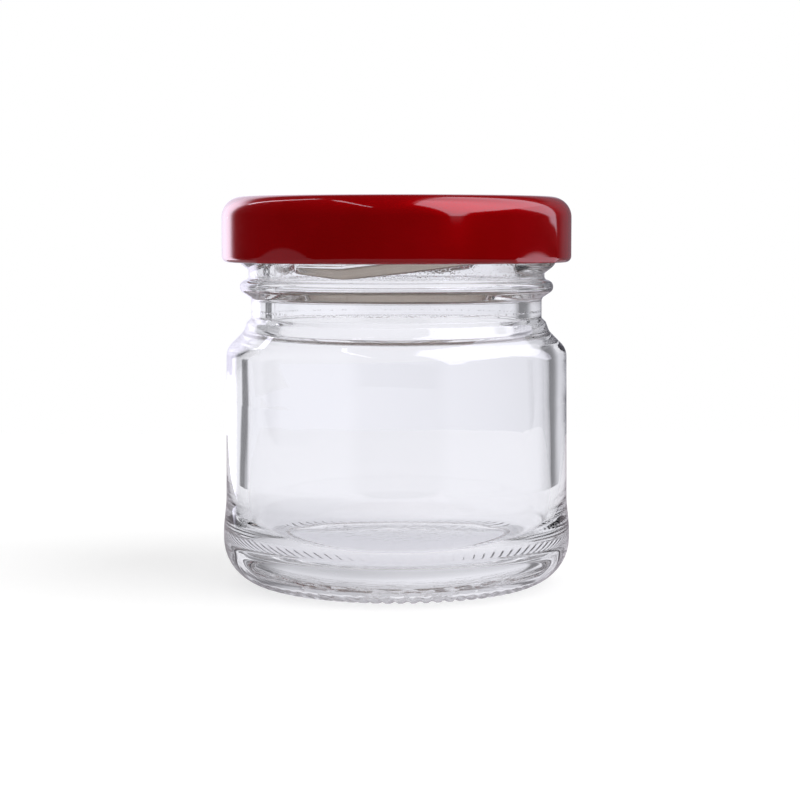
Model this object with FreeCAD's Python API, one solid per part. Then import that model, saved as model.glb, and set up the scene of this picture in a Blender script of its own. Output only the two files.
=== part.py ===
"""A small pressed-and-blown glass jar with a twist-off steel lid and the lid's seal.

Frame: millimetres, +Z up, origin at the centre of the ring that the jar stands on.
Azimuths are in degrees from the front, which faces -Y, and grow towards +X.
"""

import FreeCAD, Part

import math
import os

Vector = FreeCAD.Vector
UP = Vector(0, 0, 1)
AXIS_POINT = Vector(0, 0, 0)

# Jar: overall sizes
JAR_HEIGHT = 50.0
JAR_RADIUS = 22.95
FINISH_RADIUS = 19.5
WALL = 2.6
FINISH_WALL = 3.0
FLOOR_THICKNESS = 4.2

# Foot and heel, upwards and outwards from the ring that the jar stands on
HEEL_REACH = 4.0
HEEL_SLOPE_DEG = 45.0
HEEL_ROUND = 4.6
HEEL_BAND_HEIGHT = 4.2
HEEL_FADE_HEIGHT = 1.6
HEEL_FADE_ROUND = 6.0
INSIDE_HEEL_ROUND = 4.9
FLOOR_CROWN = 0.3
FOOT_WIDTH = 2.35
FOOT_EDGE_ROUND = 0.7
PUNT_DEPTH = 1.2
PUNT_SIDE_WIDTH = 1.4
PUNT_CROWN = 0.35
PUNT_ROUND = 0.9

# Label panel, let in below the heel's radius, and the shoulder above it
PANEL_FOOT_DEPTH = 0.35
PANEL_TOP_DEPTH = 0.5
SHOULDER_SLOPE_DEG = 45.0
SHOULDER_ROUND = 2.6
INSIDE_SHOULDER_ROUND = 3.6

# Neck, transfer bead and rim, downwards from the rim and outwards from the finish
NECK_INSET = 0.35
NECK_HEIGHT = 3.75
NECK_FOOT_ROUND = 2.0
BEAD_TOP_DROP = 9.9
BEAD_HEIGHT = 1.95
BEAD_DEPTH = 1.15
BEAD_ROUND = 0.9
BEAD_ROOT_ROUND = 0.4
RIM_ROUND = 0.9

# Threads: four ridges, each level at its low end and then a stretch of a right-handed screw
THREADS = 4
THREAD_START_DEG = -39.5
THREAD_LEVEL_DEG = 20.0
THREAD_SPAN_DEG = 108.0
THREAD_FADE_DEG = 12.0
THREAD_BLUNT_DEG = 3.0
THREAD_STEP_DEG = 8.0
THREAD_LEAD = 13.0
THREAD_START_DROP = 7.65
THREAD_DEPTH = 1.4
THREAD_CREST_HEIGHT = 0.7
THREAD_CREST_SAG = 0.12
THREAD_START_SHARE = 0.62
THREAD_BURIED = 1.1

# Lid: drawn sheet with a curled foot, and a lug in the space between each two threads
SHEET = 0.25
LID_CORNER_ROUND = 2.7
LID_SKIRT_GAP = 0.5
CURL_RADIUS = 0.8
CURL_TURN_DEG = 300.0
PANEL_RECESS = 0.5
PANEL_STEP_WIDTH = 0.6
PANEL_STEP_ROUND = 0.35
PANEL_STEP_GAP = 0.5
LUG_THICKNESS = 0.5
LUG_LEAD_DEG = 1.0
LUG_HALF_DEG = 8.0
LUG_NECK_GAP = 0.45
LUG_THREAD_GAP = 0.1
LUG_EDGE_ROUND = 0.1
FACET_DEPTH = 0.55
FACET_HEIGHT = 1.9
FACET_BACKING = 0.4

# Seal
SEAL_THICKNESS = 0.75
SEAL_INSIDE_MARGIN = 0.2
SEAL_OUTSIDE_MARGIN = 0.65
SEAL_ROUND = 0.2

# What follows from those sizes
MOUTH_RADIUS = FINISH_RADIUS - FINISH_WALL
LID_RADIUS = FINISH_RADIUS + THREAD_DEPTH + LID_SKIRT_GAP + 2 * CURL_RADIUS
LID_TOP = JAR_HEIGHT + SEAL_THICKNESS + SHEET
LID_FOOT = JAR_HEIGHT - THREAD_START_DROP + LUG_THREAD_GAP
CURL_HEIGHT = LID_FOOT + CURL_RADIUS
LUG_TURN_DEG = 360 / THREADS + LUG_LEAD_DEG - LUG_HALF_DEG
LUG_CLIMB = THREAD_LEAD * (LUG_TURN_DEG - THREAD_LEVEL_DEG) / 360
THREAD_ROOT_HEIGHT = LUG_CLIMB - LUG_THICKNESS - 2 * LUG_THREAD_GAP
SECTION_AZIMUTH = 90.0


def section_point(radius, height, azimuth=SECTION_AZIMUTH):
    """A point at that radius and height in the half-plane at an azimuth, the +X one unless given."""
    turn = math.radians(azimuth)
    return Vector(radius * math.sin(turn), -radius * math.cos(turn), height)


def rounded_outline(corners):
    """A closed wire through (radius, height, rounding) corners, each rounded by a tangent arc."""
    count = len(corners)
    points = [section_point(r, z) for r, z, _ in corners]
    edges = []
    starts = []
    ends = []
    arcs = []
    for i, (_, _, rounding) in enumerate(corners):
        here = points[i]
        back = points[i - 1] - here
        ahead = points[(i + 1) % count] - here
        if not rounding:
            starts.append(here)
            ends.append(here)
            arcs.append(None)
            continue
        back.normalize()
        ahead.normalize()
        half = back.getAngle(ahead) / 2
        reach = rounding / math.tan(half)
        middle = back + ahead
        middle.normalize()
        depth = rounding / math.sin(half) - rounding
        starts.append(here + back * reach)
        ends.append(here + ahead * reach)
        arcs.append(Part.Arc(starts[-1], here + middle * depth, ends[-1]).toShape())
    for i in range(count):
        if arcs[i]:
            edges.append(arcs[i])
        following = starts[(i + 1) % count]
        if ends[i].distanceToPoint(following) > 1e-6:
            edges.append(Part.LineSegment(ends[i], following).toShape())
    return Part.Wire(edges)


def turned(wire, start_deg=0.0, span_deg=360.0):
    """The solid that a section in the +X half-plane sweeps about the Z axis, from one azimuth."""
    solid = Part.Face(wire).revolve(AXIS_POINT, UP, span_deg)
    solid.rotate(AXIS_POINT, UP, start_deg - SECTION_AZIMUTH)
    return solid


def jar_outline():
    """The jar's section, from the axis under the floor, up the outside and down the inside."""
    heel_slope = math.tan(math.radians(HEEL_SLOPE_DEG))
    shoulder_slope = math.tan(math.radians(SHOULDER_SLOPE_DEG))
    foot_radius = JAR_RADIUS - HEEL_REACH
    heel_rise = HEEL_REACH * heel_slope
    band_top = heel_rise + HEEL_BAND_HEIGHT
    panel_radius = JAR_RADIUS - PANEL_TOP_DEPTH
    neck_radius = FINISH_RADIUS - NECK_INSET
    bead_radius = FINISH_RADIUS + BEAD_DEPTH
    bead_top = JAR_HEIGHT - BEAD_TOP_DROP
    bead_foot = bead_top - BEAD_HEIGHT
    neck_foot = bead_foot - NECK_HEIGHT
    shoulder_foot = neck_foot - (panel_radius - neck_radius) * shoulder_slope
    outside = [
        (0, PUNT_DEPTH + PUNT_CROWN, 0),
        (foot_radius - FOOT_WIDTH - PUNT_SIDE_WIDTH, PUNT_DEPTH, PUNT_ROUND),
        (foot_radius - FOOT_WIDTH, 0, FOOT_EDGE_ROUND),
        (foot_radius, 0, FOOT_EDGE_ROUND),
        (JAR_RADIUS, heel_rise, HEEL_ROUND),
        (JAR_RADIUS, band_top, HEEL_FADE_ROUND),
        (JAR_RADIUS - PANEL_FOOT_DEPTH, band_top + HEEL_FADE_HEIGHT, HEEL_FADE_ROUND),
        (panel_radius, shoulder_foot, SHOULDER_ROUND),
        (neck_radius, neck_foot, NECK_FOOT_ROUND),
    ]
    finish = [
        (neck_radius, bead_foot, BEAD_ROOT_ROUND),
        (bead_radius, bead_foot, BEAD_ROUND),
        (bead_radius, bead_top, BEAD_ROUND),
        (FINISH_RADIUS, bead_top, BEAD_ROOT_ROUND),
        (FINISH_RADIUS, JAR_HEIGHT, RIM_ROUND),
        (MOUTH_RADIUS, JAR_HEIGHT, RIM_ROUND),
    ]
    inside_radius = panel_radius - WALL
    slope_drop = WALL / math.cos(math.radians(SHOULDER_SLOPE_DEG)) - WALL * shoulder_slope
    inside_shoulder = shoulder_foot - slope_drop
    inside_neck_foot = inside_shoulder + (inside_radius - MOUTH_RADIUS) * shoulder_slope
    floor = PUNT_DEPTH + FLOOR_THICKNESS
    inside = [
        (MOUTH_RADIUS, inside_neck_foot, INSIDE_SHOULDER_ROUND),
        (inside_radius, inside_shoulder, INSIDE_SHOULDER_ROUND),
        (inside_radius, floor, INSIDE_HEEL_ROUND),
        (0, floor + FLOOR_CROWN, 0),
    ]
    return rounded_outline(outside + finish + inside)


def thread_top(turn_deg):
    """Height of a thread's upper edge at its root, that many degrees past its low end."""
    climb = max(turn_deg - THREAD_LEVEL_DEG, 0.0) / 360
    return JAR_HEIGHT - THREAD_START_DROP + THREAD_LEAD * climb


def thread_section(turn_deg, azimuth):
    """The ridge's section; it thickens downwards at the low end and sinks at the high one."""
    grown = THREAD_START_SHARE + (1 - THREAD_START_SHARE) * min(turn_deg / THREAD_LEVEL_DEG, 1.0)
    out = min(turn_deg / THREAD_BLUNT_DEG, (THREAD_SPAN_DEG - turn_deg) / THREAD_FADE_DEG, 1.0)
    crest = FINISH_RADIUS + THREAD_DEPTH * out - THREAD_BURIED / 2 * (1 - out)
    root = FINISH_RADIUS - THREAD_BURIED
    flank = (THREAD_ROOT_HEIGHT - THREAD_CREST_HEIGHT) / 2 / THREAD_DEPTH
    half_crest = THREAD_ROOT_HEIGHT * grown / 2 - flank * THREAD_DEPTH
    half_root = half_crest + flank * (crest - root)
    middle = thread_top(turn_deg) - THREAD_ROOT_HEIGHT * grown / 2
    low_root = section_point(root, middle - half_root, azimuth)
    low_crest = section_point(crest - THREAD_CREST_SAG, middle - half_crest, azimuth)
    tip = section_point(crest, middle, azimuth)
    high_crest = section_point(crest - THREAD_CREST_SAG, middle + half_crest, azimuth)
    high_root = section_point(root, middle + half_root, azimuth)
    return Part.Wire(
        [
            Part.LineSegment(low_root, low_crest).toShape(),
            Part.Arc(low_crest, tip, high_crest).toShape(),
            Part.LineSegment(high_crest, high_root).toShape(),
            Part.LineSegment(high_root, low_root).toShape(),
        ]
    )


def thread_ridge(start_azimuth):
    """One thread of the finish, lofted through sections along its screw line."""
    steps = round((THREAD_SPAN_DEG - THREAD_LEVEL_DEG) / THREAD_STEP_DEG)
    step = (THREAD_SPAN_DEG - THREAD_LEVEL_DEG) / steps
    low_end = [0.0, THREAD_BLUNT_DEG, THREAD_LEVEL_DEG / 2]
    turns = low_end + [THREAD_LEVEL_DEG + step * i for i in range(steps + 1)]
    sections = [thread_section(turn, start_azimuth + turn) for turn in turns]
    return Part.makeLoft(sections, True, True)


def glass_jar():
    """The hollow jar with its threads, as one solid."""
    jar = turned(jar_outline())
    for start in range(THREADS):
        jar = jar.fuse(thread_ridge(THREAD_START_DEG + start * 360 / THREADS))
    return jar.removeSplitter()


def lid_shell():
    """The drawn sheet: a recessed panel, a round corner, the skirt and the curl at its foot."""
    step_outer = MOUTH_RADIUS - PANEL_STEP_GAP
    step_inner = step_outer - PANEL_STEP_WIDTH
    panel_top = LID_TOP - PANEL_RECESS
    outer_face = [
        (0, panel_top, 0),
        (step_inner, panel_top, PANEL_STEP_ROUND),
        (step_outer, LID_TOP, PANEL_STEP_ROUND + SHEET),
        (LID_RADIUS, LID_TOP, LID_CORNER_ROUND),
        (LID_RADIUS, CURL_HEIGHT, 0),
    ]
    inner_face = [
        (LID_RADIUS - SHEET, CURL_HEIGHT, 0),
        (LID_RADIUS - SHEET, LID_TOP - SHEET, LID_CORNER_ROUND - SHEET),
        (step_outer, LID_TOP - SHEET, PANEL_STEP_ROUND),
        (step_inner, panel_top - SHEET, PANEL_STEP_ROUND + SHEET),
        (0, panel_top - SHEET, 0),
    ]
    return turned(rounded_outline(outer_face + inner_face)).fuse(turned(curl_outline()))


def curl_outline():
    """The curled foot's section: the sheet turned inwards and up again, most of a full turn."""

    def on_curl(radius, turn_deg):
        turn = math.radians(turn_deg)
        out = LID_RADIUS - CURL_RADIUS + radius * math.cos(turn)
        return section_point(out, CURL_HEIGHT - radius * math.sin(turn))

    outer = [on_curl(CURL_RADIUS, CURL_TURN_DEG * share) for share in (0, 0.5, 1)]
    inner = [on_curl(CURL_RADIUS - SHEET, CURL_TURN_DEG * share) for share in (1, 0.5, 0)]
    return Part.Wire(
        [
            Part.Arc(*outer).toShape(),
            Part.LineSegment(outer[-1], inner[0]).toShape(),
            Part.Arc(*inner).toShape(),
            Part.LineSegment(inner[-1], outer[0]).toShape(),
        ]
    )


def lug(azimuth):
    """One lug: a tongue that reaches in under a thread, and the pressed-in sheet that carries it."""
    tongue_top = LID_FOOT + LUG_THICKNESS
    tongue_radius = FINISH_RADIUS + LUG_NECK_GAP
    curl_middle = LID_RADIUS - CURL_RADIUS
    curl_inside = curl_middle - CURL_RADIUS
    backing_radius = LID_RADIUS - SHEET / 2
    backing_top = LID_FOOT + FACET_HEIGHT + FACET_BACKING
    tongue = [
        (tongue_radius, LID_FOOT, LUG_EDGE_ROUND),
        (curl_middle, LID_FOOT, 0),
        (curl_middle, tongue_top, 0),
        (tongue_radius, tongue_top, LUG_EDGE_ROUND),
    ]
    backing = [
        (curl_inside, LID_FOOT, 0),
        (backing_radius, LID_FOOT, 0),
        (backing_radius, backing_top, 0),
        (backing_radius - CURL_RADIUS, backing_top, 0),
        (curl_inside, tongue_top, 0),
    ]
    facet_half_deg = math.degrees(math.acos(1 - (FACET_DEPTH + SHEET / 2) / LID_RADIUS))
    carried = turned(rounded_outline(backing), azimuth - facet_half_deg, 2 * facet_half_deg)
    return carried.fuse(turned(rounded_outline(tongue), azimuth - LUG_HALF_DEG, 2 * LUG_HALF_DEG))


def facet_cutter(azimuth):
    """A block whose face is the flat that a lug's forming leaves at the foot of the skirt."""
    size = LID_RADIUS
    block = Part.makeBox(2 * size, size, 2 * size, Vector(-size, 0, -size))
    tilt = math.degrees(math.atan2(FACET_DEPTH, FACET_HEIGHT))
    block.rotate(AXIS_POINT, Vector(1, 0, 0), -tilt)
    block.translate(Vector(0, LID_RADIUS - FACET_DEPTH, LID_FOOT))
    block.rotate(AXIS_POINT, UP, azimuth + 180)
    return block


def twist_lid():
    """The steel lid: shell, curl and lugs, with a facet outside each lug."""
    lid = lid_shell()
    azimuths = [THREAD_START_DEG + LUG_LEAD_DEG + i * 360 / THREADS for i in range(THREADS)]
    for azimuth in azimuths:
        lid = lid.fuse(lug(azimuth))
    for azimuth in azimuths:
        lid = lid.cut(facet_cutter(azimuth))
    return lid.removeSplitter()


def seal_ring():
    """The compound ring in the lid's channel, which the rim presses against."""
    inner = MOUTH_RADIUS - SEAL_INSIDE_MARGIN
    outer = FINISH_RADIUS + SEAL_OUTSIDE_MARGIN
    top = JAR_HEIGHT + SEAL_THICKNESS
    return turned(
        rounded_outline(
            [
                (inner, JAR_HEIGHT, SEAL_ROUND),
                (outer, JAR_HEIGHT, SEAL_ROUND),
                (outer, top, 0),
                (inner, top, 0),
            ]
        )
    )


def export(name, shape):
    solids = shape.Solids
    if len(solids) != 1 or not solids[0].isValid():
        raise ValueError(f"{name}: {len(solids)} solids, valid {shape.isValid()}")
    solids[0].exportStep(os.path.join("parts", f"{name}.step"))
    print(f"{name}: {solids[0].Volume / 1000:.3f} cm3")


os.makedirs("parts", exist_ok=True)
export("glass_jar", glass_jar())
export("twist_lid", twist_lid())
export("seal_ring", seal_ring())
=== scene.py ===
"""A small glass preserve jar with a red twist-off lid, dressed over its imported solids."""

import bpy
import math

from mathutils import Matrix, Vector


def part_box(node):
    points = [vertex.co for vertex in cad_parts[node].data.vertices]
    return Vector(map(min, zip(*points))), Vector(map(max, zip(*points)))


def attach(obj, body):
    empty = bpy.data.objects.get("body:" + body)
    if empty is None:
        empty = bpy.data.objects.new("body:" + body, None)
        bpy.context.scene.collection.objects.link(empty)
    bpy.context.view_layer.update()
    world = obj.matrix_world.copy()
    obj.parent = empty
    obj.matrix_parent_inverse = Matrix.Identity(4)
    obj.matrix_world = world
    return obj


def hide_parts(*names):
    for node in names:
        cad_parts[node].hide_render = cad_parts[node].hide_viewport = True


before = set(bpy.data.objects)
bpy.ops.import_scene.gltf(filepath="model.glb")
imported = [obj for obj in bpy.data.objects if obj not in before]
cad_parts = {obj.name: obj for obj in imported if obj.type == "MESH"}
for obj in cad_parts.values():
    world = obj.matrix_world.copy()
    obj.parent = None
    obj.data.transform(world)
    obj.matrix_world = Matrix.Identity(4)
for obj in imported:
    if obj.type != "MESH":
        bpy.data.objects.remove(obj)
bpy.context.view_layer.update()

MM = 0.001

# ---------------------------------------------------------------- sizes in millimetres

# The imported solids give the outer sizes
jar_low, jar_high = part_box("glass_jar")
lid_low, lid_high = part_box("twist_lid")
seal_low, seal_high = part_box("seal_ring")
JAR_RADIUS = jar_high.x / MM
JAR_HEIGHT = jar_high.z / MM
LID_RADIUS = lid_high.x / MM
LID_FOOT = lid_low.z / MM
LID_TOP = lid_high.z / MM
SEAL_FOOT = seal_low.z / MM
SEAL_TOP = seal_high.z / MM
SEAL_RADIUS = seal_high.x / MM

# Foot and heel
PUNT_MIDDLE = 1.55
PUNT_EDGE = 1.2
PUNT_RADIUS = 15.2
PUNT_ROUND = 0.9
FOOT_INSIDE = 16.3
FOOT_ROUND = 0.5
HEEL_ROUND = 6.0
HEEL_BAND_TOP = 7.6

# Wall and shoulder
PANEL_FOOT = 11.0
PANEL_FOOT_DEPTH = 0.35
PANEL_RADIUS = 22.45
WALL_ROUND = 12.0
SHOULDER_FOOT = 31.1
SHOULDER_ROUND = 2.4
SHOULDER_TOP = 33.4
SHOULDER_TOP_RADIUS = 20.15
SHOULDER_TOP_ROUND = 1.5

# Neck, with a small step at its foot, and the bead
NECK_RADIUS = 19.15
STEP_FOOT = 34.6
STEP_TOP = 35.15
STEP_RADIUS = 19.72
STEP_OUTER_ROUND = 0.45
STEP_INNER_ROUND = 0.2
BEAD_FOOT = 37.75
BEAD_FOOT_ROUND = 0.7
BEAD_SLOPE_TOP = 38.75
BEAD_TOP = 40.1
BEAD_RADIUS = 20.65
BEAD_ROUND = 0.85
BEAD_ROOT_ROUND = 0.5
FINISH_RADIUS = 19.5
MOUTH_RADIUS = 16.2
RIM_ROUND = 0.9

# Inside: the edge under the neck, the ceiling's corner, and the wall high up and low down
INSIDE_EDGE_HEIGHT = 31.7
INSIDE_EDGE_ROUND = 0.12
INSIDE_CORNER_HEIGHT = 32.25
INSIDE_CORNER_RADIUS = 19.0
INSIDE_CORNER_ROUND = 0.9
INSIDE_SHOULDER = 30.9
INSIDE_HIGH_HEIGHT = 24.0
INSIDE_HIGH_RADIUS = 19.95
INSIDE_LOW_HEIGHT = 13.5
INSIDE_LOW_RADIUS = 20.25
INSIDE_FLOOR_RADIUS = 20.15
INSIDE_WALL_ROUND = 14
INSIDE_LIMIT_RADIUS = 20.55
FLOOR_HEIGHT = 4.6
FLOOR_CROWN = 0.3
FLOOR_ROUND = 5.0
INSIDE_SHIFT = 0.25
SHIFT_TOP = 31.5
SHIFT_FADE = 3

# Knurls under the foot and the mould's seams
KNURLS = 72
KNURL_DEPTH = 0.22
KNURL_INNER_RADIUS = FOOT_INSIDE - 0.2
KNURL_TOP = 1.0
KNURL_FADE = 0.5
KNURL_MIDDLE = 17.2
KNURL_LEAN = 0.9
KNURL_SHARPNESS = 0.9
SEAM_DEG = -58.0
SEAM_RISE = 0.07
SEAM_HALF_DEG = 1.7
SEAM_FOOT = 33.6
SEAM_FOOT_FADE = 1.5
SEAM_TOP = 43.6
SEAM_TOP_FADE = 1.0
SEAM_RIPPLE = 0.4
SEAM_RIPPLE_RATE = 9.0
SEAM_INNER_RADIUS = NECK_RADIUS - 0.2
SMUDGE_FOOT = 8.6
SMUDGE_TOP = 13.4
SMUDGE_FADE = 2.0
SMUDGE_SHARE = 0.6

# Threads
THREADS = 4
THREAD_START_DEG = -39.5
THREAD_LEVEL_DEG = 20.0
THREAD_SPAN_DEG = 108.0
THREAD_FADE_DEG = 12.0
THREAD_BLUNT_DEG = 2.6
THREAD_LEAD = 14.4
THREAD_START_HEIGHT = JAR_HEIGHT - 7.65
THREAD_DEPTH = 1.4
THREAD_ROOT_HEIGHT = 1.82
THREAD_FLANK = 1.25
THREAD_TOP_FLANK = 0.3
THREAD_START_SHARE = 0.58
THREAD_STRAIGHT_SHARE = 0.6
THREAD_INNER_RADIUS = FINISH_RADIUS - 0.05
THREAD_SPACING = 0.11
THREAD_ZONE_FOOT = 40.6
THREAD_ZONE_TOP = 45.8

# Lid: panel, step, corner and curl
SHEET = 0.25
PANEL_DROP = 0.5
PANEL_STEP_RADIUS = 16.0
PANEL_STEP_WIDTH = 0.6
PANEL_STEP_ROUND = 0.35
LID_CORNER_ROUND = 2.7
CURL_RADIUS = 0.8
CURL_TURN_DEG = 300
CURL_STEPS = 30

# Lid: the flat pressed in over each lug
FACET_DEPTH = 0.6
FACET_HEIGHT = 2.35
FACET_LIMIT_DEG = 20
FACET_FADE = 0.12
FACET_SQUEEZE = 0.75
FACET_SKIN = 0.25

# Lid: the lugs under it
LUG_AZIMUTHS = [-38.5, 51.5, 141.5, 231.5]
LUG_REACH = 1.4
LUG_PRESS = 1.05
LUG_HALF_DEG = 8.0
LUG_EDGE_DEG = 1.5
LUG_SOFT_DEG = 2.5
LUG_SOFT = 0.3
LUG_TOP = 1.7
LUG_INNER_RADIUS = 20

# Seal
SEAL_INSIDE_MARGIN = 0.2
SEAL_EDGE_WIDTH = 0.3
SEAL_EDGE_HEIGHT = 0.1
SEAL_ROUND = 0.2

JAR_SEGMENTS = 432
LID_SEGMENTS = 360
SEAL_SEGMENTS = 180
JAR_STEP_DEG = 7.5
LID_STEP_DEG = 6.0
SEAL_STEP_DEG = 15

# How near two sizes count as the same
SAME_RADIUS = 0.01
SAME_HEIGHT = 0.02
SKIN_MARGIN = 0.1
LEAST_WEIGHT = 0.0005
LEAST_TRAVEL = 0.0001
ON_AXIS = 1e-7
UPRIGHT_SLOPE = 0.3


# ---------------------------------------------------------------- shader maths


class Value:
    """A socket of a node tree; Python's operators on it add Math nodes."""

    def __init__(self, tree, socket):
        self.tree = tree
        self.socket = socket

    def of(self, name):
        """Another output of the same node."""
        return Value(self.tree, self.socket.node.outputs[name])

    def math(self, operation, *terms):
        inputs = {i: term for i, term in enumerate(terms)}
        return self.tree.node("ShaderNodeMath", {"operation": operation}, inputs)

    def __add__(self, other):
        return self.math("ADD", self, other)

    def __radd__(self, other):
        return self.math("ADD", other, self)

    def __sub__(self, other):
        return self.math("SUBTRACT", self, other)

    def __rsub__(self, other):
        return self.math("SUBTRACT", other, self)

    def __mul__(self, other):
        return self.math("MULTIPLY", self, other)

    def __rmul__(self, other):
        return self.math("MULTIPLY", other, self)

    def __neg__(self):
        return self.math("MULTIPLY", self, -1.0)

    def __abs__(self):
        return self.math("ABSOLUTE", self)

    def larger(self, other):
        return self.math("MAXIMUM", self, other)


class Tree:
    """The nodes of one material or of the world."""

    def __init__(self, owner):
        owner.use_nodes = True
        self.nodes = owner.node_tree.nodes
        self.links = owner.node_tree.links
        self.nodes.clear()

    def node(self, kind, settings=None, inputs=None):
        """Adds a node: its settings first, then the values or links of its sockets."""
        made = self.nodes.new(kind)
        for name, value in (settings or {}).items():
            setattr(made, name, value)
        for key, value in (inputs or {}).items():
            if isinstance(key, int):
                socket = made.inputs[key]
            else:
                socket = next(s for s in made.inputs if s.enabled and s.name == key)
            if isinstance(value, Value):
                self.links.new(value.socket, socket)
            else:
                socket.default_value = value
        outputs = [s for s in made.outputs if s.enabled]
        return Value(self, outputs[0]) if outputs else None

    def place(self):
        """Where a point is on its object, in metres."""
        return self.node("ShaderNodeTexCoord").of("Object")

    def noise(self, place, scale, detail):
        inputs = {"Vector": place, "Scale": scale, "Detail": detail}
        return self.node("ShaderNodeTexNoise", None, inputs).of("Fac")

    def bump(self, height):
        """A normal bent by a height in millimetres."""
        inputs = {"Height": height, "Distance": MM, "Strength": 1.0}
        return self.node("ShaderNodeBump", None, inputs).of("Normal")

    def colour_mix(self, factor, first, second):
        """One colour laid over another."""
        return self.node("ShaderNodeMix", {"data_type": "RGBA"}, {0: factor, 6: first, 7: second})

    def rise(self, value, start, end):
        """A smooth step from 0 at start to 1 at end."""
        inputs = {"Value": value, "From Min": start, "From Max": end}
        return self.node("ShaderNodeMapRange", {"interpolation_type": "SMOOTHSTEP"}, inputs)

    def fall(self, value, start, end):
        """A smooth step from 1 at start to 0 at end."""
        return 1.0 - self.rise(value, start, end)

    def band(self, value, low, high, soft):
        """1 between low and high, with soft ends that reach outwards."""
        return self.rise(value, low - soft, low) * self.fall(value, high, high + soft)


# ---------------------------------------------------------------- modelling


def clear_selection():
    if bpy.context.object and bpy.context.object.mode != "OBJECT":
        bpy.ops.object.mode_set(mode="OBJECT")
    bpy.ops.object.select_all(action="DESELECT")


def rounded_line(corners, step_deg):
    """Points along (radius, height, rounding) corners, each rounded by a tangent arc."""
    line = []
    for i, (radius, height, rounding) in enumerate(corners):
        here = Vector((radius, height))
        if not rounding:
            line.append(here)
            continue
        back = (Vector(corners[i - 1][:2]) - here).normalized()
        ahead = (Vector(corners[i + 1][:2]) - here).normalized()
        half = back.angle(ahead) / 2
        middle = here + (back + ahead).normalized() * (rounding / math.sin(half))
        spoke = here + back * (rounding / math.tan(half)) - middle
        turn = math.pi - 2 * half
        side = 1 if back.x * ahead.y - back.y * ahead.x < 0 else -1
        steps = max(2, math.ceil(math.degrees(turn) / step_deg))
        for k in range(steps + 1):
            angle = side * turn * k / steps
            across = spoke.x * math.cos(angle) - spoke.y * math.sin(angle)
            up = spoke.x * math.sin(angle) + spoke.y * math.cos(angle)
            line.append(middle + Vector((across, up)))
    return line


def evened(line, spacing, low, high):
    """Adds points to the outside's upright stretches between two heights."""
    heights = [low + spacing * k for k in range(int((high - low) / spacing) + 1)]
    filled = [line[0]]
    for point in line[1:]:
        last = filled[-1]
        ends = sorted((last.y, point.y))
        upright = abs(point.x - last.x) < SAME_RADIUS
        outside = point.x > (MOUTH_RADIUS + FINISH_RADIUS) / 2
        if upright and outside and ends[0] < high and ends[1] > low:
            for height in heights:
                if ends[0] + SAME_HEIGHT < height < ends[1] - SAME_HEIGHT:
                    filled.append(Vector((point.x, height)))
        filled.append(point)
    return filled


def first_ring(name, point, segments, fill):
    """The circle that a skin starts from, left in edit mode with all of it picked."""
    clear_selection()
    bpy.ops.mesh.primitive_circle_add(
        vertices=segments,
        radius=point.x * MM,
        fill_type=fill,
        location=(0, 0, point.y * MM),
    )
    piece = bpy.context.object
    piece.name = name
    piece.data.name = name
    bpy.ops.object.transform_apply(location=True, rotation=True, scale=True)
    return piece


def open_mesh():
    bpy.ops.object.mode_set(mode="EDIT")
    bpy.ops.mesh.select_mode(type="VERT")
    bpy.ops.mesh.select_all(action="SELECT")


def extrude_through(line):
    """Extrudes the picked ring from the line's first point through the others."""
    radius, height = line[0]
    for point in line[1:]:
        rise = (point.y - height) * MM
        grow = point.x / radius
        bpy.ops.mesh.extrude_edges_move(TRANSFORM_OT_translate={"value": (0, 0, rise)})
        bpy.ops.transform.resize(value=(grow, grow, 1), center_override=(0, 0, point.y * MM))
        radius, height = point


def close_mesh():
    bpy.ops.mesh.select_all(action="SELECT")
    bpy.ops.mesh.normals_make_consistent(inside=False)
    bpy.ops.object.mode_set(mode="OBJECT")
    bpy.ops.object.shade_smooth()


def turned(name, line, segments):
    """A closed skin of revolution, a ring extruded from point to point and shut on the axis."""
    piece = first_ring(name, line[1], segments, "TRIFAN")
    pole = next(v for v in piece.data.vertices if Vector(v.co[:2]).length < ON_AXIS)
    pole.co.z = line[0].y * MM
    open_mesh()
    bpy.ops.mesh.region_to_loop()
    extrude_through(line[1:-1])
    rise = (line[-1].y - line[-2].y) * MM
    bpy.ops.mesh.extrude_edges_move(TRANSFORM_OT_translate={"value": (0, 0, rise)})
    bpy.ops.mesh.merge(type="CENTER")
    close_mesh()
    return piece


def ring_turned(name, line, segments):
    """A closed ring: a circle extruded round a closed section and bridged to its start."""
    piece = first_ring(name, line[0], segments, "NOTHING")
    open_mesh()
    extrude_through(line)
    bpy.ops.mesh.select_all(action="SELECT")
    bpy.ops.mesh.region_to_loop()
    bpy.ops.mesh.bridge_edge_loops()
    close_mesh()
    return piece


def azimuth_of(point):
    """Degrees from the front, growing towards +X."""
    return math.degrees(math.atan2(point.x, -point.y))


def radius_of(point):
    return math.hypot(point.x, point.y)


def press(piece, name, weigh, travel):
    """Moves the points that weigh picks: along their normals, or by a vector, in millimetres."""
    group = piece.vertex_groups.new(name=name)
    for vertex in piece.data.vertices:
        weight = weigh(vertex.co / MM)
        if weight > LEAST_WEIGHT:
            group.add([vertex.index], min(weight, 1.0), "REPLACE")
    clear_selection()
    piece.select_set(True)
    bpy.context.view_layer.objects.active = piece
    pushes = zip("XYZ", travel) if isinstance(travel, Vector) else [("NORMAL", travel)]
    for direction, strength in pushes:
        if abs(strength) < LEAST_TRAVEL:
            continue
        push = piece.modifiers.new(name, "DISPLACE")
        push.direction = direction
        push.mid_level = 0.0
        push.strength = strength * MM
        push.vertex_group = name
    while piece.modifiers:
        bpy.ops.object.modifier_apply(modifier=piece.modifiers[0].name)
    piece.vertex_groups.remove(piece.vertex_groups[name])


def held(share):
    """A share kept between 0 and 1."""
    return min(max(share, 0.0), 1.0)


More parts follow.
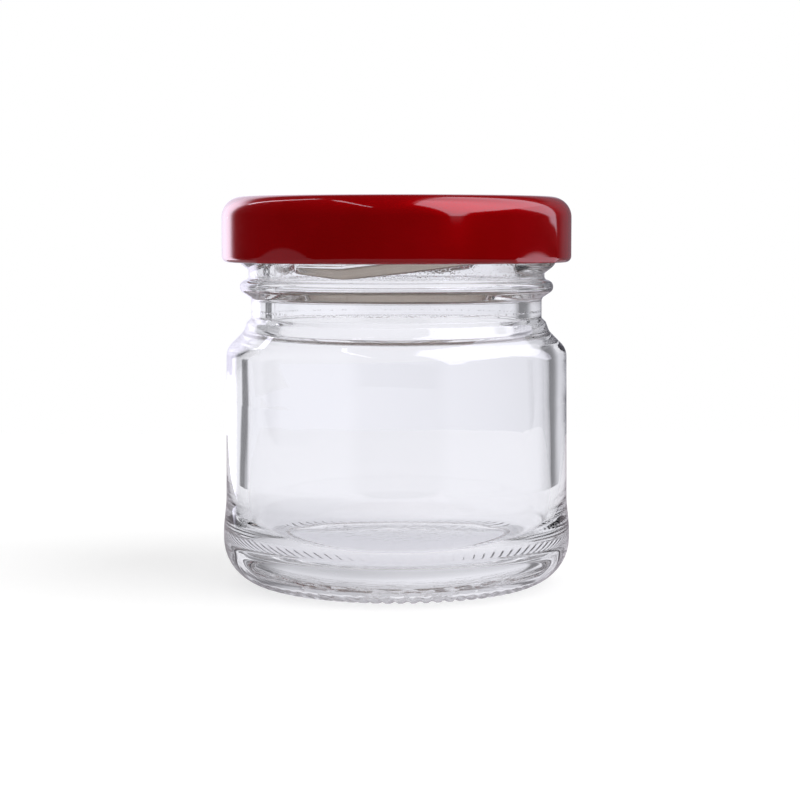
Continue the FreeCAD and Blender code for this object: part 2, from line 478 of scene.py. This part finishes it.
def eased(share):
    """0 to 1 with level ends."""
    share = held(share)
    return share * share * (3 - 2 * share)


# ---------------------------------------------------------------- the glass jar


def jar_line():
    """The jar's section: under the foot, up the outside, over the rim and down the inside."""
    outside = [
        (0, PUNT_MIDDLE, 0),
        (PUNT_RADIUS, PUNT_EDGE, PUNT_ROUND),
        (FOOT_INSIDE, 0, FOOT_ROUND),
        (JAR_RADIUS, 0, HEEL_ROUND),
        (JAR_RADIUS, HEEL_BAND_TOP, WALL_ROUND),
        (JAR_RADIUS - PANEL_FOOT_DEPTH, PANEL_FOOT, WALL_ROUND),
        (PANEL_RADIUS, SHOULDER_FOOT, SHOULDER_ROUND),
        (SHOULDER_TOP_RADIUS, SHOULDER_TOP, SHOULDER_TOP_ROUND),
        (STEP_RADIUS, STEP_FOOT, STEP_OUTER_ROUND),
        (NECK_RADIUS, STEP_TOP, STEP_INNER_ROUND),
        (NECK_RADIUS, BEAD_FOOT, BEAD_FOOT_ROUND),
        (BEAD_RADIUS, BEAD_SLOPE_TOP, BEAD_ROUND),
        (BEAD_RADIUS, BEAD_TOP, BEAD_ROUND),
        (FINISH_RADIUS, BEAD_TOP, BEAD_ROOT_ROUND),
        (FINISH_RADIUS, JAR_HEIGHT, RIM_ROUND),
        (MOUTH_RADIUS, JAR_HEIGHT, RIM_ROUND),
    ]
    # The wall is a little thicker high up, as blown glass is
    inside = [
        (MOUTH_RADIUS, INSIDE_EDGE_HEIGHT, INSIDE_EDGE_ROUND),
        (INSIDE_CORNER_RADIUS, INSIDE_CORNER_HEIGHT, INSIDE_CORNER_ROUND),
        (INSIDE_HIGH_RADIUS, INSIDE_SHOULDER, SHOULDER_ROUND),
        (INSIDE_HIGH_RADIUS, INSIDE_HIGH_HEIGHT, INSIDE_WALL_ROUND),
        (INSIDE_LOW_RADIUS, INSIDE_LOW_HEIGHT, INSIDE_WALL_ROUND),
        (INSIDE_FLOOR_RADIUS, FLOOR_HEIGHT, FLOOR_ROUND),
        (0, FLOOR_HEIGHT + FLOOR_CROWN, 0),
    ]
    return rounded_line(outside + inside, JAR_STEP_DEG)


def thread_height(point):
    """How far a thread stands out at a point of the neck, from 0 to 1."""
    if radius_of(point) < THREAD_INNER_RADIUS:
        return 0.0
    tallest = 0.0
    for start in range(THREADS):
        turn = (azimuth_of(point) - THREAD_START_DEG - start * 360 / THREADS) % 360
        if turn > THREAD_SPAN_DEG:
            continue
        climb = THREAD_LEAD * max(turn - THREAD_LEVEL_DEG, 0.0) / 360
        grown = THREAD_START_SHARE
        grown += (1 - THREAD_START_SHARE) * min(turn / THREAD_LEVEL_DEG, 1.0)
        above = point.z - (THREAD_START_HEIGHT + climb - THREAD_ROOT_HEIGHT * grown)
        below = THREAD_ROOT_HEIGHT * grown - above
        rise = min(above / (THREAD_FLANK * grown), below / THREAD_TOP_FLANK, 1.0)
        if rise <= 0:
            continue
        out = min(turn / THREAD_BLUNT_DEG, 1.0)
        out = min(out, eased((THREAD_SPAN_DEG - turn) / THREAD_FADE_DEG))
        flank = THREAD_STRAIGHT_SHARE * rise + (1 - THREAD_STRAIGHT_SHARE) * eased(rise)
        tallest = max(tallest, flank * out)
    return tallest


def inside_shift(point):
    """The blown inside stands a little to one side."""
    below = point.z < FLOOR_HEIGHT - SKIN_MARGIN
    if below or point.z > SHIFT_TOP or radius_of(point) > INSIDE_LIMIT_RADIUS:
        return 0.0
    return eased((SHIFT_TOP - point.z) / SHIFT_FADE)


def knurl_height(point):
    """Short crescents stand round the bearing ring under the foot."""
    radius = radius_of(point)
    if point.z > KNURL_TOP or radius < KNURL_INNER_RADIUS:
        return 0.0
    across = eased((radius - KNURL_INNER_RADIUS) / KNURL_FADE)
    across *= eased((KNURL_TOP - point.z) / KNURL_FADE)
    turn = math.radians(azimuth_of(point)) * KNURLS + (radius - KNURL_MIDDLE) * KNURL_LEAN
    return across * eased(0.5 + KNURL_SHARPNESS * math.cos(turn))


def seam_height(point):
    """The mould's two halves leave a fine upright line on the neck and a smudge low down."""
    if radius_of(point) < SEAM_INNER_RADIUS:
        return 0.0
    turn = (azimuth_of(point) - SEAM_DEG + 90) % 180 - 90
    line = eased((point.z - SEAM_FOOT) / SEAM_FOOT_FADE)
    line *= eased((SEAM_TOP - point.z) / SEAM_TOP_FADE)
    smudge = eased((point.z - SMUDGE_FOOT) / SMUDGE_FADE)
    smudge *= eased((SMUDGE_TOP - point.z) / SMUDGE_FADE) * SMUDGE_SHARE
    ripple = 1 - SEAM_RIPPLE + SEAM_RIPPLE * math.sin(point.z * SEAM_RIPPLE_RATE)
    return max(0.0, 1.0 - abs(turn) / SEAM_HALF_DEG) * ripple * max(line, smudge)


def build_jar():
    line = evened(jar_line(), THREAD_SPACING, THREAD_ZONE_FOOT, THREAD_ZONE_TOP)
    jar = turned("clear_jar", line, JAR_SEGMENTS)
    press(jar, "threads", thread_height, THREAD_DEPTH)
    press(jar, "inside_shift", inside_shift, Vector((INSIDE_SHIFT, 0, 0)))
    press(jar, "knurls", knurl_height, Vector((0, 0, KNURL_DEPTH)))
    press(jar, "seams", seam_height, SEAM_RISE)
    return jar


# ---------------------------------------------------------------- the lid and its seal


def lid_line():
    """The drawn sheet's section: panel, corner, skirt and curl outside, then back inside."""
    step_inner = PANEL_STEP_RADIUS - PANEL_STEP_WIDTH
    panel_top = LID_TOP - PANEL_DROP
    curl_height = LID_FOOT + CURL_RADIUS
    curl_middle = LID_RADIUS - CURL_RADIUS
    skirt_foot = curl_height + 2 * CURL_RADIUS
    outer = [
        (0, panel_top, 0),
        (step_inner, panel_top, PANEL_STEP_ROUND),
        (PANEL_STEP_RADIUS, LID_TOP, PANEL_STEP_ROUND + SHEET),
        (LID_RADIUS, LID_TOP, LID_CORNER_ROUND),
        (LID_RADIUS, skirt_foot, 0),
    ]
    line = rounded_line(outer, LID_STEP_DEG)
    outer_curl = (CURL_RADIUS, 0, CURL_TURN_DEG)
    inner_curl = (CURL_RADIUS - SHEET, CURL_TURN_DEG, 0)
    for radius, start, end in (outer_curl, inner_curl):
        for k in range(CURL_STEPS + 1):
            turn = math.radians(start + (end - start) * k / CURL_STEPS)
            across = curl_middle + radius * math.cos(turn)
            line.append(Vector((across, curl_height - radius * math.sin(turn))))
    inner = [
        (LID_RADIUS - SHEET, skirt_foot, 0),
        (LID_RADIUS - SHEET, LID_TOP - SHEET, LID_CORNER_ROUND - SHEET),
        (PANEL_STEP_RADIUS, LID_TOP - SHEET, PANEL_STEP_ROUND),
        (step_inner, panel_top - SHEET, PANEL_STEP_ROUND + SHEET),
        (0, panel_top - SHEET, 0),
    ]
    return line + rounded_line(inner, LID_STEP_DEG)


def turn_from(point, azimuth):
    """A lid point's angle from a lug's direction, in degrees."""
    return (azimuth_of(point) - azimuth + 180) % 360 - 180


def lug_share(point, azimuth):
    """1 at a lug and 0 away from it."""
    inside = LUG_HALF_DEG + LUG_EDGE_DEG - abs(turn_from(point, azimuth))
    return eased(inside / LUG_SOFT_DEG)


def facet_reach(point, azimuth):
    """How far the flat over a lug cuts in below the full skirt, or 0 away from it."""
    turn = turn_from(point, azimuth)
    inner_side = LID_RADIUS - 2 * CURL_RADIUS - SKIN_MARGIN
    if abs(turn) > FACET_LIMIT_DEG or radius_of(point) < inner_side:
        return 0.0
    full = LID_RADIUS * math.cos(math.radians(turn))
    flat = LID_RADIUS - FACET_DEPTH * (1 - (point.z - LID_FOOT) / FACET_HEIGHT)
    return max(full - flat, 0.0)


def facet_in(azimuth):
    """The skirt and the curl's outer half go in to the flat."""

    def weigh(point):
        reach = facet_reach(point, azimuth)
        half = (radius_of(point) - LID_RADIUS + 2 * CURL_RADIUS) / (2 * CURL_RADIUS)
        return reach * held(half) / FACET_DEPTH

    return weigh


def facet_out(azimuth):
    """Low down, the curl's outer skin is squeezed out to the flat instead."""

    def weigh(point):
        reach = facet_reach(point, azimuth)
        low = LID_FOOT + CURL_RADIUS - point.z
        across = radius_of(point) - (LID_RADIUS - CURL_RADIUS)
        if low <= 0 or across < 0:
            return 0.0
        missing = CURL_RADIUS - math.sqrt(max(CURL_RADIUS ** 2 - low ** 2, 0.0))
        share = eased(reach / FACET_FADE) * eased(across / FACET_SKIN)
        return share * missing * FACET_SQUEEZE

    return weigh


def tongue_in(azimuth):
    """The curl's inner half is drawn in under the thread."""

    def weigh(point):
        radius = radius_of(point)
        inwards = LID_RADIUS - CURL_RADIUS - radius
        if point.z > LID_FOOT + LUG_TOP or inwards < 0 or radius < LUG_INNER_RADIUS:
            return 0.0
        return lug_share(point, azimuth) * inwards / CURL_RADIUS

    return weigh


def tongue_flat(azimuth):
    """The curl's inner half is pressed flat there."""

    def weigh(point):
        inwards = LID_RADIUS - CURL_RADIUS - radius_of(point)
        if point.z > LID_FOOT + LUG_TOP or inwards < -LUG_SOFT:
            return 0.0
        flat = lug_share(point, azimuth) * eased((inwards + LUG_SOFT) / (2 * LUG_SOFT))
        return flat * (point.z - LID_FOOT) / (2 * CURL_RADIUS)

    return weigh


def build_lid():
    lid = turned("red_lid", lid_line(), LID_SEGMENTS)
    for i, azimuth in enumerate(LUG_AZIMUTHS):
        angle = math.radians(azimuth)
        outwards = Vector((math.sin(angle), -math.cos(angle), 0))
        press(lid, f"tongue_flat_{i}", tongue_flat(azimuth), Vector((0, 0, -LUG_PRESS)))
        press(lid, f"tongue_in_{i}", tongue_in(azimuth), outwards * -LUG_REACH)
        press(lid, f"facet_out_{i}", facet_out(azimuth), outwards)
        press(lid, f"facet_in_{i}", facet_in(azimuth), outwards * -FACET_DEPTH)
    return lid


def coat_lid(lid, enamel, lacquer):
    """Enamel all over, and lacquer on the faces of the lid's inside."""
    lid.data.materials.append(enamel)
    lid.data.materials.append(lacquer)
    for face in lid.data.polygons:
        centre = face.center / MM
        faces_in = face.normal.x * centre.x + face.normal.y * centre.y < 0
        upright = abs(face.normal.z) <= UPRIGHT_SLOPE and radius_of(centre) > LUG_INNER_RADIUS
        inside = faces_in if upright else face.normal.z < 0
        if inside and centre.z > LID_FOOT + 2 * CURL_RADIUS:
            face.material_index = 1


def build_seal():
    inner = MOUTH_RADIUS - SEAL_INSIDE_MARGIN
    shoulder = SEAL_TOP - SEAL_EDGE_HEIGHT
    section = [
        (inner + SEAL_EDGE_WIDTH, SEAL_TOP, 0),
        (SEAL_RADIUS - SEAL_EDGE_WIDTH, SEAL_TOP, 0),
        (SEAL_RADIUS, shoulder, SEAL_EDGE_HEIGHT),
        (SEAL_RADIUS, SEAL_FOOT, SEAL_ROUND),
        (inner, SEAL_FOOT, SEAL_ROUND),
        (inner, shoulder, SEAL_EDGE_HEIGHT),
        (inner + SEAL_EDGE_WIDTH, SEAL_TOP, 0),
    ]
    return ring_turned("seal", rounded_line(section, SEAL_STEP_DEG)[:-1], SEAL_SEGMENTS)


# ---------------------------------------------------------------- materials

WHITE = (1, 1, 1, 1)
GLASS_TINT = (0.985, 0.985, 0.995, 1)
GLASS_SHADE = (0.93, 0.93, 0.94, 1)
RED_DEEP = (0.3, 0.0, 0.0005, 1)
RED_LIGHT = (0.33, 0.0, 0.0015, 1)
DUST = (0.8, 0.5, 0.5, 1)
LACQUER = (0.82, 0.71, 0.59)
COMPOUND = (0.72, 0.68, 0.6)
DIM_SHARE = 0.93
CLOTH_DARK = (0.495, 0.495, 0.495, 1)
CLOTH_LIGHT = (0.505, 0.505, 0.505, 1)
CLOTH_MIRRORED = (0.4, 0.36, 0.4, 1)
BENT_COOL = (0.97, 0.975, 1.06, 1)

# How high the bumps stand, in millimetres
WAVE_HEIGHT = 0.05
SMALL_WAVE_SHARE = 0.12
GRAIN_HEIGHT = 0.035
MARK_HEIGHT = 0.07
PEEL_HEIGHT = 0.0012
CLOUD_HEIGHT = 0.006
FILM_GRAIN_HEIGHT = 0.004


def new_material(name):
    material = bpy.data.materials.new(name)
    return material, Tree(material)


def clear_glass():
    """Clear glass; its shadow is the pale one of a thin wall."""
    material, tree = new_material("clear_glass")
    place = tree.place()
    split = tree.node("ShaderNodeSeparateXYZ", None, {0: place})
    x = split * 1000.0
    y = split.of("Y") * 1000.0
    z = split.of("Z") * 1000.0
    radius = tree.node("ShaderNodeMath", {"operation": "SQRT"}, {0: x * x + y * y})
    on_finish = tree.rise(radius, 19.4, 19.45)

    # Fine grain on the threads' flanks, on two mould lines and in patches on the finish
    grain = tree.rise(tree.noise(place, 2600.0, 1.0), 0.52, 0.66)
    flank = tree.band(radius, 19.53, 19.72, 0.05) * tree.rise(z, 40.35, 40.5) * 0.35
    bead_line = tree.band(z, 40.9, 41.0, 0.06) * on_finish * 0.6
    neck_line = tree.band(z, 35.98, 36.08, 0.07) * tree.rise(radius, 18.9, 19.0) * 1.2
    patches = tree.rise(tree.noise(place, 210.0, 1.0), 0.58, 0.7) * tree.band(z, 40.3, 43.5, 0.3)
    patches = patches * tree.rise(radius, 19.3, 19.4) * 0.12
    rough = (flank + bead_line + neck_line + patches) * grain

    # The plunger's marks in the middle of the floor, and the wall's slow waves
    floor_marks = tree.rise(tree.noise(place, 700.0, 3.0), 0.5, 0.72)
    floor_marks = floor_marks * tree.fall(radius, 9.0, 13.5)
    floor_marks = floor_marks * tree.band(z, FLOOR_HEIGHT - 0.5, FLOOR_HEIGHT + 0.8, 0.2)
    waves = tree.noise(place, 80.0, 1.0) + tree.noise(place, 260.0, 0.0) * SMALL_WAVE_SHARE
    height = waves * WAVE_HEIGHT + rough * GRAIN_HEIGHT + floor_marks * MARK_HEIGHT

    glass = {
        "Base Color": GLASS_TINT,
        "Roughness": 0.0,
        "IOR": 1.52,
        "Transmission Weight": 1.0,
        "Normal": tree.bump(height),
    }
    body = tree.node("ShaderNodeBsdfPrincipled", None, glass)
    shade = tree.node("ShaderNodeBsdfTransparent", None, {"Color": GLASS_SHADE})
    shadow = tree.node("ShaderNodeLightPath").of("Is Shadow Ray")
    both = tree.node("ShaderNodeMixShader", None, {0: shadow, 1: body, 2: shade})
    tree.node("ShaderNodeOutputMaterial", None, {"Surface": both})
    return material


def red_enamel():
    """Glossy red enamel under a clear coat, with a few dust specks."""
    material, tree = new_material("red_enamel")
    place = tree.place()
    cloud = tree.noise(place, 160.0, 2.0)
    peel = tree.noise(place, 1300.0, 1.0)
    cells = tree.node("ShaderNodeTexVoronoi", None, {"Vector": place, "Scale": 135.0}).of("Distance")
    speck = tree.fall(cells, 0.012, 0.022) * 0.5
    red = tree.colour_mix(tree.rise(cloud, 0.3, 0.7), RED_DEEP, RED_LIGHT)
    red = tree.colour_mix(speck, red, DUST)
    enamel = {
        "Base Color": red,
        "Normal": tree.bump(peel * PEEL_HEIGHT + cloud * CLOUD_HEIGHT),
        "Roughness": 0.28,
        "Metallic": 0.3,
        "Specular IOR Level": 0.0,
        "Coat Weight": 1.0,
        "Coat Roughness": 0.04,
    }
    body = tree.node("ShaderNodeBsdfPrincipled", None, enamel)
    tree.node("ShaderNodeOutputMaterial", None, {"Surface": body})
    return material


def pale_film(name, colour):
    """A pale even film with faint clouds and a fine grain."""
    material, tree = new_material(name)
    place = tree.place()
    cloud = tree.noise(place, 220.0, 3.0)
    grain = tree.noise(place, 2400.0, 1.0)
    dim = tuple(part * DIM_SHARE for part in colour)
    film = {
        "Base Color": tree.colour_mix(tree.rise(cloud, 0.3, 0.7), (*dim, 1), (*colour, 1)),
        "Roughness": 0.36 + cloud * 0.08,
        "Normal": tree.bump(grain * FILM_GRAIN_HEIGHT),
    }
    body = tree.node("ShaderNodeBsdfPrincipled", None, film)
    tree.node("ShaderNodeOutputMaterial", None, {"Surface": body})
    return material


def floor_white():
    """A white table top that shows white where nothing shades it, and greyer in a mirror."""
    material, tree = new_material("floor_white")
    path = tree.node("ShaderNodeLightPath")
    bent = path.of("Is Transmission Ray")
    mirrored = path.of("Is Glossy Ray") * (1.0 - bent)
    seen = (path.of("Is Camera Ray") * 1.08).larger(bent * 0.9)
    weave = tree.noise(tree.place(), 40.0, 2.0)
    tone = tree.colour_mix(weave, CLOTH_DARK, CLOTH_LIGHT)
    tone = tree.colour_mix(mirrored, tone, CLOTH_MIRRORED)
    cloth = tree.node("ShaderNodeBsdfDiffuse", None, {"Color": tone})
    cool = tree.colour_mix(bent, WHITE, BENT_COOL)
    glow = tree.node("ShaderNodeEmission", None, {"Color": cool, "Strength": seen * 0.5})
    both = tree.node("ShaderNodeAddShader", None, {0: cloth, 1: glow})
    tree.node("ShaderNodeOutputMaterial", None, {"Surface": both})
    return material


# ---------------------------------------------------------------- studio

FLOOR_LENGTH = 0.37
FLOOR_WIDTH_SHARE = 0.5
FLOOR_PLACE = (0, 0.013, -0.00002)
LAMP_TARGET = (0, 0, 0.025)
CAMERA_PLACE = (0.00046, -0.270, 0.0465)
CAMERA_DIP_DEG = 4.73
CAMERA_LENS = 91.8

# How bright each soft box is, where 1 is the white backdrop
LEFT_BOX = 1.8
KEY_BOX = 3.6
TAIL_SHARE = 0.8
LINE_BOX = 5.0
UNDER_RIGHT = 1.5
UNDER_LEFT = 0.3
DARK_ROOM = 0.02
PLAIN_FILL = 0.6
SKY_MIRRORED = (1, 0.97, 1.15, 1)
SKY_BENT = (0.98, 0.985, 1.04, 1)
DEGREES = 180 / math.pi


def build_floor():
    clear_selection()
    bpy.ops.mesh.primitive_plane_add(size=FLOOR_LENGTH, location=FLOOR_PLACE)
    floor = bpy.context.object
    floor.name = "table_top"
    bpy.ops.transform.resize(value=(FLOOR_WIDTH_SHARE, 1, 1), center_override=(0, 0, 0))
    bpy.ops.object.transform_apply(location=True, rotation=True, scale=True)
    floor.data.materials.append(floor_white())


def build_lamp(name, place, size, power):
    """A square lamp that lights surfaces but isn't seen or mirrored."""
    clear_selection()
    bpy.ops.object.light_add(type="AREA", location=place)
    lamp = bpy.context.object
    lamp.name = name
    lamp.data.size = size
    lamp.data.energy = power
    aim = Vector(LAMP_TARGET) - Vector(place)
    lamp.rotation_euler = aim.to_track_quat("-Z", "Y").to_euler()
    lamp.visible_glossy = False
    lamp.visible_transmission = False
    lamp.visible_camera = False


def mirrored_light(tree, way, swing, lift):
    """What a polished surface mirrors, by the parts of the way it looks and two angles.

    Swing is 0 degrees straight behind the jar and 90 at its right; lift is the angle upwards.
    """
    x, y, z = way
    backdrop = tree.fall(abs(swing), 38, 52) * tree.fall(lift, 24, 34)
    backdrop = backdrop * (1.0 - tree.rise(swing, -2, 12) * 0.84)
    left_box = tree.rise(swing, -47, -39) * tree.fall(swing, -38, -8) * LEFT_BOX
    left_box = left_box * tree.fall(lift, 20, 32)

    # The key box stands right of the jar on a slanting sill, with a dip at its near end
    right = tree.rise(x * 0.81 + y * 0.566 + z * 0.157, -0.02, 0.03) * tree.rise(x, 0.13, 0.17)
    right = right * tree.fall(y, 0.56, 0.61)
    sill = tree.rise(z - x * 0.531 - y * 0.16, -0.01, 0.05)
    dip = tree.rise(lift, 2, 7) * tree.rise(swing + lift * 0.43, 136, 141)
    dip = dip * tree.fall(swing, 150, 160)
    tail = tree.rise(y + z * 0.88, 0.45, 0.53) * tree.fall(y, 0.58, 0.62) * tree.rise(x, 0.1, 0.2)
    tail = tail * tree.rise(lift, -0.3, 0.7) * TAIL_SHARE
    key = (right * sill.larger(dip)).larger(tail)
    key = key * (tree.rise(swing, 45, 110) * 0.45 + 0.55) * KEY_BOX

    # Two thin bright edges overhead: one runs front to back, one slants off to the left
    bend = tree.rise(-y, 0.4, 0.65) * 0.035
    edge = tree.band(x + z * 0.36 - bend, -0.012, 0.014, 0.01) * tree.rise(z, 0.7, 0.76)
    edge = edge * tree.fall(y, 0.1, 0.22) * tree.rise(y, -0.66, -0.6)
    bend = tree.rise(z, 0.75, 0.92) * 0.1
    arc = tree.band(x + y - bend, -0.03, 0.03, 0.02) * tree.rise(-x, 0.3, 0.34)
    arc = arc * tree.rise(z, 0.45, 0.52) * tree.fall(z, 0.84, 0.89)

    # Light from below the table's edge, for the flats at the foot of the lid
    under = tree.band(swing, 45, 80, 8) * UNDER_RIGHT + tree.band(swing, -115, -70, 8) * UNDER_LEFT
    under = under * tree.fall(lift, -16, -12)
    return (backdrop + left_box + key + under + (edge + arc) * LINE_BOX).larger(DARK_ROOM)


def light_through(tree, swing, lift):
    """What shows through the glass: white, darker at two sides, overhead and in front."""
    right_dark = tree.rise(swing, 26, 42) * tree.fall(swing, 56, 66) * 0.72
    left_dark = tree.rise(-swing, 36, 40) * tree.fall(-swing, 46, 51) * 0.8
    side_dark = right_dark.larger(left_dark) * tree.rise(lift, -16, -12)
    front_dark = tree.rise(abs(swing), 140, 155) * 0.85
    through = (1.0 - side_dark) * (1.0 - front_dark) * (1.0 - tree.rise(swing, -8, 14) * 0.14)
    return through * (1.0 - tree.rise(lift, 2, 14) * 0.3) * 0.975


def build_world():
    """White behind the jar, a dark room on the camera's side, and the soft boxes in it."""
    world = bpy.data.worlds.new("studio")
    bpy.context.scene.world = world
    tree = Tree(world)
    path = tree.node("ShaderNodeLightPath")
    way = tree.node("ShaderNodeTexCoord").of("Generated")
    x = tree.node("ShaderNodeSeparateXYZ", None, {0: way})
    y, z = x.of("Y"), x.of("Z")
    swing = tree.node("ShaderNodeMath", {"operation": "ARCTAN2"}, {0: x, 1: y}) * DEGREES
    lift = tree.node("ShaderNodeMath", {"operation": "ARCSINE"}, {0: z}) * DEGREES
    mirror = mirrored_light(tree, (x, y, z), swing, lift)
    through = light_through(tree, swing, lift)

    # Each kind of ray gets its own level: straight to the camera, bent, mirrored or plain
    bent = path.of("Is Transmission Ray")
    glossy = path.of("Is Glossy Ray") * (1.0 - bent)
    straight = path.of("Is Camera Ray")
    plain = (1.0 - bent) * (1.0 - glossy) * (1.0 - straight)
    level = plain * PLAIN_FILL + glossy * mirror + bent * through + straight
    cool = tree.colour_mix(glossy, WHITE, SKY_MIRRORED)
    colour = tree.colour_mix(bent, cool, SKY_BENT)
    back = tree.node("ShaderNodeBackground", None, {"Color": colour, "Strength": level})
    tree.node("ShaderNodeOutputWorld", None, {"Surface": back})


def build_camera():
    clear_selection()
    bpy.ops.object.camera_add(location=CAMERA_PLACE)
    camera = bpy.context.object
    camera.name = "view"
    camera.rotation_euler = (math.radians(90 - CAMERA_DIP_DEG), 0, 0)
    camera.data.lens = CAMERA_LENS
    camera.data.sensor_width = 36
    camera.data.clip_start = 0.01
    camera.data.clip_end = 20
    bpy.context.scene.camera = camera


# ---------------------------------------------------------------- the whole

# Light crosses many glass faces on its way through the jar
scene = bpy.context.scene
scene.view_settings.view_transform = "Standard"
scene.cycles.max_bounces = 32
scene.cycles.transmission_bounces = 32
scene.cycles.glossy_bounces = 16

jar = build_jar()
jar.data.materials.append(clear_glass())
lid = build_lid()
coat_lid(lid, red_enamel(), pale_film("cream_lacquer", LACQUER))
seal = build_seal()
seal.data.materials.append(pale_film("seal_compound", COMPOUND))

for piece, node, slot in (
    (jar, "glass_jar", "clear_glass"),
    (lid, "twist_lid", "red_enamel"),
    (seal, "seal_ring", "seal_compound"),
):
    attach(piece, "root")
    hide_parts(node)

build_floor()
build_world()
build_lamp("lamp_top", (0.4, -0.2, 0.6), 0.5, 3.3)
build_lamp("lamp_left", (-0.6, 0.1, 0.3), 0.4, 0.8)
build_camera()
